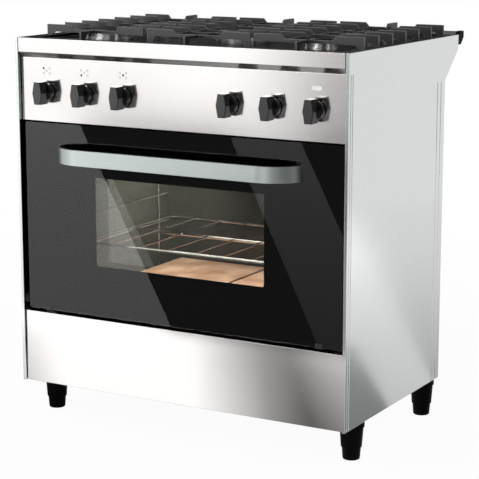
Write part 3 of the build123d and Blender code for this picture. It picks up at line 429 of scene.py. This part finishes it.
# finishes by the record's slots, which the imported nodes carry as material names
finishes = {
    "stainless_steel": makeSurface(brushedStainless),
    "silver_side_steel": makeSurface(coatedSide),
    "galvanised_steel": makeGalvanised(),
    "black_enamel": makeSurface(glossEnamel),
    "matt_black_enamel": makeSurface(mattEnamel),
    "oven_enamel": makeSpeckledEnamel(),
    "door_enamel": makeSurface(doorEnamel),
    "mineral_wool": makeMineralWool(),
    "terracotta": makeFireclay(),
    "chromed_wire": makeSurface(chromedWire),
    "zinc_steel": makeSurface(zincPlated),
    "outer_glass": makeGlass(outerPane),
    "inner_glass": makeGlass(innerPane),
    "black_frit": makeSurface(firedFrit),
    "satin_aluminium": makeSurface(anodisedStrip),
    "cast_aluminium": makeSurface(dieCast),
    "black_plastic": makeSurface(mouldedNylon),
    "knob_plastic": makeSurface(mouldedPhenolic),
    "brass_fitting": makeSurface(turnedBrass),
    "white_ceramic": makeSurface(glazedAlumina),
    "silicone_seal": makeSurface(siliconeCord),
}
for node in nodes.values():
    for slot in node.material_slots:
        slot.material = finishes[slot.material.name.split(".")[0]]
print("finishes:", len(finishes))


def addPiece(name, mesh, material, body):
    piece = bpy.data.objects.new(name, mesh)
    bpy.context.scene.collection.objects.link(piece)
    mesh.materials.append(material)
    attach(piece, body)
    return piece


def roundedCorners(low, high, radius, steps):
    # corners of a rounded rectangle in X and Z, counter-clockwise seen from the front
    turns = [(high[0] - radius, high[1] - radius, 0), (low[0] + radius, high[1] - radius, 90),
             (low[0] + radius, low[1] + radius, 180), (high[0] - radius, low[1] + radius, 270)]
    points = []
    for x, z, start in turns:
        for step in range(steps + 1):
            angle = math.radians(start + 90 * step / steps)
            points.append((x + radius * math.cos(angle), z + radius * math.sin(angle)))
    return points


def platePart(form, outlines, front, rear):
    # fills outlines, the first one the rim and the rest holes, and gives the sheet a thickness in Y
    rims = []
    for outline in outlines:
        ring = [form.verts.new((x, front, z)) for x, z in outline]
        rims += [form.edges.new((ring[i - 1], ring[i])) for i in range(len(ring))]
    sheet = bmesh.ops.triangle_fill(form, edges=rims, use_beauty=True)["geom"]
    faces = [item for item in sheet if isinstance(item, bmesh.types.BMFace)]
    raised = bmesh.ops.extrude_face_region(form, geom=faces)["geom"]
    moved = [item for item in raised if isinstance(item, bmesh.types.BMVert)]
    bmesh.ops.translate(form, verts=moved, vec=(0, rear - front, 0))


def closeForm(form, name):
    bmesh.ops.recalc_face_normals(form, faces=form.faces)
    mesh = bpy.data.meshes.new(name)
    form.to_mesh(mesh)
    form.free()
    return mesh


# the black print fused into the back of the door glass, with the window left clear, in metres
doorPrint = {"windowWidth": 0.412, "windowHeight": 0.193, "cornerRadius": 0.003, "windowRadius": 0.004,
             "cornerSteps": 5, "fused": 0.0004, "rimInset": 0.0003}


def makeDoorPrint():
    low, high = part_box("door_print")
    middle = (low + high) / 2
    halfWide, halfTall = doorPrint["windowWidth"] / 2, doorPrint["windowHeight"] / 2
    inset = doorPrint["rimInset"]
    rim = roundedCorners((low.x + inset, low.z + inset), (high.x - inset, high.z - inset),
                         doorPrint["cornerRadius"], doorPrint["cornerSteps"])
    window = roundedCorners((middle.x - halfWide, middle.z - halfTall),
                            (middle.x + halfWide, middle.z + halfTall),
                            doorPrint["windowRadius"], doorPrint["cornerSteps"])
    form = bmesh.new()
    platePart(form, [rim, window], low.y - doorPrint["fused"], high.y)
    mesh = closeForm(form, "door_print_layer")
    piece = addPiece("door_print_layer", mesh, finishes["black_frit"], "oven_door")
    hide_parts("door_print")


makeDoorPrint()
print("door print: done")

# printed on the control panel above each of the three knobs on the left: a small plan of the five burners
burnerPlans = {"count": 3, "height": 0.7755, "spreadX": 0.0078, "spreadZ": 0.0052, "ring": 0.0022,
               "ringLine": 0.0006, "ownDot": 0.0026, "circleSides": 16, "thickness": 0.00008}


def circleOutline(x, z, radius, sides):
    turns = [2 * math.pi * i / sides for i in range(sides)]
    return [(x + radius * math.cos(turn), z + radius * math.sin(turn)) for turn in turns]


def makeBurnerPlans():
    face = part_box("control_panel")[0].y
    plan = [(-1, 1), (-1, -1), (0, 0), (1, 1), (1, -1)]  # left rear and front, middle, right rear and front
    form = bmesh.new()
    for own in range(burnerPlans["count"]):
        low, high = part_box(f"knob_{own + 1}")
        knobX = (low.x + high.x) / 2
        for spot, (stepX, stepZ) in enumerate(plan):
            x = knobX + stepX * burnerPlans["spreadX"]
            z = burnerPlans["height"] + stepZ * burnerPlans["spreadZ"]
            radii = [burnerPlans["ring"], burnerPlans["ring"] - burnerPlans["ringLine"]]
            if spot == own:
                radii = [burnerPlans["ownDot"]]  # the burner that the knob serves is a full dot
            circles = [circleOutline(x, z, radius, burnerPlans["circleSides"]) for radius in radii]
            platePart(form, circles, face, face - burnerPlans["thickness"])
    addPiece("burner_plan_marks", closeForm(form, "burner_plan_marks"), makeSurface(darkInk), "cabinet")


# printed above the oven knob: a plain white mark with round ends
ovenMark = {"height": 0.773, "halfWidth": 0.0115, "halfHeight": 0.0045, "roundShare": 0.98, "cornerSteps": 8,
            "thickness": 0.00008}


def makeOvenMark():
    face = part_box("control_panel")[0].y
    low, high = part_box("knob_6")
    knobX = (low.x + high.x) / 2
    halfWide, halfTall = ovenMark["halfWidth"], ovenMark["halfHeight"]
    z = ovenMark["height"]
    pill = roundedCorners((knobX - halfWide, z - halfTall), (knobX + halfWide, z + halfTall),
                          halfTall * ovenMark["roundShare"], ovenMark["cornerSteps"])
    form = bmesh.new()
    platePart(form, [pill], face, face - ovenMark["thickness"])
    addPiece("oven_mark", closeForm(form, "oven_mark"), makeSurface(whiteInk), "cabinet")


makeBurnerPlans()
makeOvenMark()
print("panel marks: done")

# Paper roll, matt white, under the stove: it keeps the shadow and fades into plain white further away.
floorLook = {"name": "paper roll, matt white", "light": "#F4F4F3", "dark": "#EEEEED", "glow": "#FFFFFF",
             "fibreMm": 3, "fibreDetail": 3.0, "halfSize": 40.0, "nearGlow": 0.95, "fadeStart": 0.7,
             "fadeEnd": 2.6, "drop": 0.0004}


def seenRays(tree):
    # 1 where the camera looks straight, by a reflection or through glass, and 0 for light on the stove
    path = addNode(tree, "ShaderNodeLightPath")
    seen = addNode(tree, "ShaderNodeMath",
                   {0: path.outputs["Is Camera Ray"], 1: path.outputs["Is Glossy Ray"]}, operation="MAXIMUM")
    seenAll = addNode(tree, "ShaderNodeMath",
                      {0: seen.outputs["Value"], 1: path.outputs["Is Transmission Ray"]}, operation="MAXIMUM")
    return seenAll.outputs["Value"]


def makeFloor():
    look = floorLook
    material, tree = startMaterial(look["name"])
    coords = addNode(tree, "ShaderNodeTexCoord")
    fibre = addNode(tree, "ShaderNodeTexNoise",
                    {"Vector": coords.outputs["Object"], "Scale": cells(look["fibreMm"]),
                     "Detail": look["fibreDetail"]})
    tone = addNode(tree, "ShaderNodeMix",
                   {mixFactor: fibre.outputs["Fac"], mixFrom: linear(look["dark"]),
                    mixTo: linear(look["light"])}, data_type="RGBA")
    paper = addNode(tree, "ShaderNodeBsdfDiffuse", {"Color": tone.outputs[mixResult]})
    glow = addNode(tree, "ShaderNodeEmission", {"Color": linear(look["glow"]), "Strength": 1.0})
    distance = addNode(tree, "ShaderNodeVectorMath", {0: coords.outputs["Object"]}, operation="LENGTH")
    fade = addNode(tree, "ShaderNodeMapRange",
                   {"Value": distance.outputs["Value"], "From Min": look["fadeStart"],
                    "From Max": look["fadeEnd"], "To Min": look["nearGlow"], "To Max": 1.0},
                   interpolation_type="SMOOTHSTEP")
    amount = addNode(tree, "ShaderNodeMath",
                     {0: seenRays(tree), 1: fade.outputs["Result"]}, operation="MULTIPLY")
    mix = addNode(tree, "ShaderNodeMixShader",
                  {0: amount.outputs["Value"], 1: paper.outputs["BSDF"], 2: glow.outputs["Emission"]})
    addNode(tree, "ShaderNodeOutputMaterial", {"Surface": mix.outputs["Shader"]})
    size, level = look["halfSize"], -look["drop"]
    mesh = bpy.data.meshes.new("floor")
    mesh.from_pydata([(-size, -size, level), (size, -size, level), (size, size, level), (-size, size, level)],
                     [], [(0, 1, 2, 3)])
    mesh.materials.append(material)
    floor = bpy.data.objects.new("floor", mesh)
    bpy.context.scene.collection.objects.link(floor)


def straightRail(y, z, stops):
    # a card's edge along X, with x and brightness at each stop
    return [(x, y, z, brightness) for x, brightness in stops]


def bentRail(z, stops):
    # a card's edge that turns, with x, y and brightness at each stop
    return [(x, y, z, brightness) for x, y, brightness in stops]


# lines across the floor ahead of the stove, in Y, where cards meet
nearLine = -0.42
middleLine = -1.02
farLine = -4.6
# the right-hand end of the cards, in X, and the upright screens that stand there and behind the far line
rightEnd = 4.6
screenLine = -4.7
screenTop = 3
screenStops = [(-1.2, 0.6), (-0.3, 1.9), (0.6, 1.3), (1.4, 0.2), (rightEnd, 0.06)]
# heights over the floor, so that one card covers another
lowCard = 0.002
middleCard = 0.004
highCard = 0.006

# glowing flat cards that show only in reflections and through glass, each a ribbon between two rails whose
# brightness at each stop paints what is reflected: the floor ahead of the stove with painted soft shades, dim
# dark sheets with two pale strips for the door glass, screens ahead and on the right, dim dark sheets
# overhead and behind the hob, and painted shades of the floor on the right
cards = {
    "base_shade": [
        bentRail(middleCard, [(-1.4, -0.24, 1.0), (-1.14, -0.24, 0.1), (-0.7, -0.22, 0.1),
                              (-0.3, -0.05, 0.36), (0.3, -0.05, 0.36)]),
        straightRail(nearLine, middleCard, [(-1.4, 1.0), (-1.14, 0.1), (-0.7, 0.1), (-0.3, 0.36),
                                            (0.3, 0.36)])],
    "near_floor": [
        straightRail(nearLine, middleCard, [(-3, 1.3), (-0.53, 0.8), (-0.39, 1.5), (-0.05, 1.5), (0.07, 0.85),
                                            (0.15, 0.4), (0.25, 0.1), (0.4, 0.45), (0.9, 0.5)]),
        straightRail(middleLine, middleCard, [(-3, 1.5), (-1.06, 1.4), (-0.92, 1.55), (-0.42, 1.55),
                                              (-0.33, 0.95), (-0.22, 0.46), (-0.14, 0.3), (-0.02, 0.7),
                                              (0.3, 0.9)])],
    "flap_top_floor": [
        straightRail(-0.9, highCard, [(-0.954, 1.28), (-0.814, 1.54), (-0.346, 1.54), (-0.25, 0.93),
                                      (-0.146, 0.45), (-0.062, 0.26), (0.064, 0.65), (0.42, 0.82)]),
        straightRail(middleLine, highCard, [(-1.06, 2.3), (-0.92, 2.5), (-0.42, 2.4), (-0.33, 1.5),
                                            (-0.22, 0.75), (-0.14, 0.5), (-0.02, 1.25), (0.3, 1.7)])],
    "front_cloth": [
        straightRail(middleLine, lowCard, [(-9, 0.12), (0.35, 0.12)]),
        straightRail(farLine, lowCard, [(-9, 0.12), (-1.35, 0.12)])],
    "left_strip": [
        straightRail(middleLine, middleCard, [(-9, 1.2), (-0.49, 1.2)]),
        straightRail(farLine, middleCard, [(-9, 1.65), (-3.32, 1.65)])],
    "right_strip": [
        straightRail(middleLine, middleCard, [(-0.047, 0.34), (0.174, 0.34)]),
        straightRail(farLine, middleCard, [(-2.4, 0.8), (-2.0, 0.8)])],
    "right_floor": [
        bentRail(lowCard, [(0.35, middleLine, 0.12), (0.45, middleLine, 0.6), (0.8, middleLine, 0.9),
                           (1.4, -0.6, 0.4), (rightEnd, -0.3, 0.06)]),
        straightRail(farLine, lowCard, [(-1.35, 0.12), (-1.2, 1.7), (-0.3, 1.6), (0.9, 1.3),
                                        (rightEnd, 0.06)])],
    "far_floor": [
        straightRail(farLine, middleCard, [(-14, 1.35), (-3.1, 1.35), (-2.75, 1.6), (-2.3, 1.55), (-2.0, 1.0),
                                           (-1.75, 0.54), (3, 0.5)]),
        straightRail(-12, middleCard, [(-14, 1.4), (-7.4, 1.4), (-6.85, 1.6), (-6.25, 1.5), (-5.9, 0.76),
                                       (-5.55, 0.36), (3, 0.5)])],
    "front_screen": [
        straightRail(screenLine, 0, screenStops),
        straightRail(screenLine, screenTop, screenStops)],
    "right_screen": [
        bentRail(0, [(rightEnd, screenLine, 0.06), (rightEnd, 0.3, 0.14)]),
        bentRail(screenTop, [(rightEnd, screenLine, 0.12), (rightEnd, 0.3, 0.2)])],
    "ceiling_cloth": [
        straightRail(-8, 3.4, [(-6, 0.15), (6, 0.15)]),
        straightRail(0.8, 3.4, [(-6, 0.15), (6, 0.15)])],
    "rear_cloth": [
        straightRail(1.9, 0.88, [(-3.5, 0.03), (1.5, 0.03)]),
        straightRail(1.9, 2.2, [(-3.5, 0.03), (1.5, 0.03)])],
    "side_corner": [
        bentRail(highCard, [(0.83, 0.64, 0.5), (0.64, 0.37, 0.33), (0.4, 0.02, 0.26)]),
        bentRail(highCard, [(1.05, 0.58, 0.45), (0.85, 0.2, 0.33), (0.6, -0.3, 0.26)])],
    "side_light": [
        bentRail(middleCard, [(1.68, 2.36, 1.38), (1.29, 1.74, 1.36), (0.97, 1.2, 1.1), (0.73, 0.8, 0.93),
                              (0.5, 0.42, 0.82), (0.36, 0.18, 0.72)]),
        bentRail(middleCard, [(2.2, 2.0, 1.4), (1.75, 1.4, 1.36), (1.4, 0.9, 1.08), (1.1, 0.5, 0.9),
                              (0.85, 0.1, 0.78), (0.7, -0.1, 0.7)])],
    "side_rear": [
        bentRail(middleCard, [(1.68, 2.36, 0.93), (1.29, 1.74, 0.88), (0.97, 1.2, 0.78), (0.73, 0.8, 0.66),
                              (0.5, 0.42, 0.55), (0.36, 0.18, 0.5)]),
        bentRail(middleCard, [(1.2, 3.0, 0.97), (0.8, 2.2, 0.95), (0.6, 1.6, 0.87), (0.42, 1.1, 0.68),
                              (0.41, 0.7, 0.55), (0.41, 0.3, 0.5)])],
}


def makeCard(name, rails):
    # each card glows only for reflections and glass; its painted brightness stands in for the reflected room
    # and its shades, and lights nothing
    material, tree = startMaterial("glowing reflection card " + name)
    shade = addNode(tree, "ShaderNodeAttribute", attribute_name="brightness")
    glow = addNode(tree, "ShaderNodeEmission", {"Strength": shade.outputs["Fac"]})
    addNode(tree, "ShaderNodeOutputMaterial", {"Surface": glow.outputs["Emission"]})
    points = rails[0] + rails[1]
    count = len(rails[0])
    mesh = bpy.data.meshes.new(name)
    mesh.from_pydata([(x, y, z) for x, y, z, brightness in points], [],
                     [(i, i + 1, count + i + 1, count + i) for i in range(count - 1)])
    levels = mesh.attributes.new("brightness", "FLOAT", "POINT")
    levels.data.foreach_set("value", [brightness for x, y, z, brightness in points])
    mesh.materials.append(material)
    card = bpy.data.objects.new(name, mesh)
    bpy.context.scene.collection.objects.link(card)
    card.visible_camera = False
    card.visible_diffuse = False
    card.visible_shadow = False


# two softboxes ahead on the left, and two small lamps for the oven behind its window, in metres and degrees
lamps = {
    "front_softbox": {"place": (-5.6, -7.0, 1.9), "aim": (0.0, 0.0, 0.5), "size": (4.6, 2.6), "watts": 130,
                      "spread": 180, "colour": "#FFFFFF"},
    "key_softbox": {"place": (-1.6, -2.6, 2.9), "aim": (0.0, 0.0, 0.5), "size": (1.6, 1.2), "watts": 45,
                    "spread": 180, "colour": "#FFFFFF"},
    "oven_top_lamp": {"place": (0.03, -0.06, 0.612), "aim": (0.03, -0.06, 0.3), "size": (0.42, 0.3),
                      "watts": 1.2, "spread": 75, "colour": "#FFF8F0"},
    "oven_side_lamp": {"place": (0.02, -0.13, 0.55), "aim": (-0.29, 0.06, 0.45), "size": (0.08, 0.08),
                       "watts": 1.3, "spread": 80, "colour": "#FFFBF2"},
}


def makeLamp(name, look):
    data = bpy.data.lights.new(name, "AREA")
    data.shape = "RECTANGLE"
    data.size, data.size_y = look["size"]
    data.energy = look["watts"]
    data.spread = math.radians(look["spread"])
    data.color = linear(look["colour"])[:3]
    lamp = bpy.data.objects.new(name, data)
    bpy.context.scene.collection.objects.link(lamp)
    lamp.location = look["place"]
    lamp.rotation_euler = (Vector(look["aim"]) - Vector(look["place"])).to_track_quat("-Z", "Y").to_euler()
    lamp.visible_camera = False


# plain white where it is seen, and weaker as light on the stove
studioWorld = {"colour": "#FFFFFF", "seen": 1.0, "light": 0.55}


def makeWorld():
    world = bpy.data.worlds.new("studio")
    bpy.context.scene.world = world
    world.use_nodes = True
    tree = world.node_tree
    tree.nodes.clear()
    level = addNode(tree, "ShaderNodeMapRange",
                    {"Value": seenRays(tree), "To Min": studioWorld["light"], "To Max": studioWorld["seen"]})
    sky = addNode(tree, "ShaderNodeBackground",
                  {"Color": linear(studioWorld["colour"]), "Strength": level.outputs["Result"]})
    addNode(tree, "ShaderNodeOutputWorld", {"Surface": sky.outputs["Background"]})


# the photograph's viewing angle, in degrees round and above the point that the camera aims at, and metres
viewpoint = {"azimuth": 29.718, "elevation": 11.336, "distance": 3.742, "aim": (0.0055, 0.0, 0.3950),
             "lensMm": 126.55, "sensorMm": 36.0}


def makeCamera():
    data = bpy.data.cameras.new("camera")
    data.lens = viewpoint["lensMm"]
    data.sensor_width = viewpoint["sensorMm"]
    camera = bpy.data.objects.new("camera", data)
    bpy.context.scene.collection.objects.link(camera)
    turn, rise = math.radians(viewpoint["azimuth"]), math.radians(viewpoint["elevation"])
    away = Vector((math.sin(turn) * math.cos(rise), -math.cos(turn) * math.cos(rise), math.sin(rise)))
    camera.location = Vector(viewpoint["aim"]) + away * viewpoint["distance"]
    camera.rotation_euler = (-away).to_track_quat("-Z", "Y").to_euler()
    bpy.context.scene.camera = camera


makeFloor()
for name, rails in cards.items():
    makeCard(name, rails)
for name, look in lamps.items():
    makeLamp(name, look)
makeWorld()
makeCamera()
bpy.context.scene.view_settings.view_transform = "Standard"
print("studio: done")
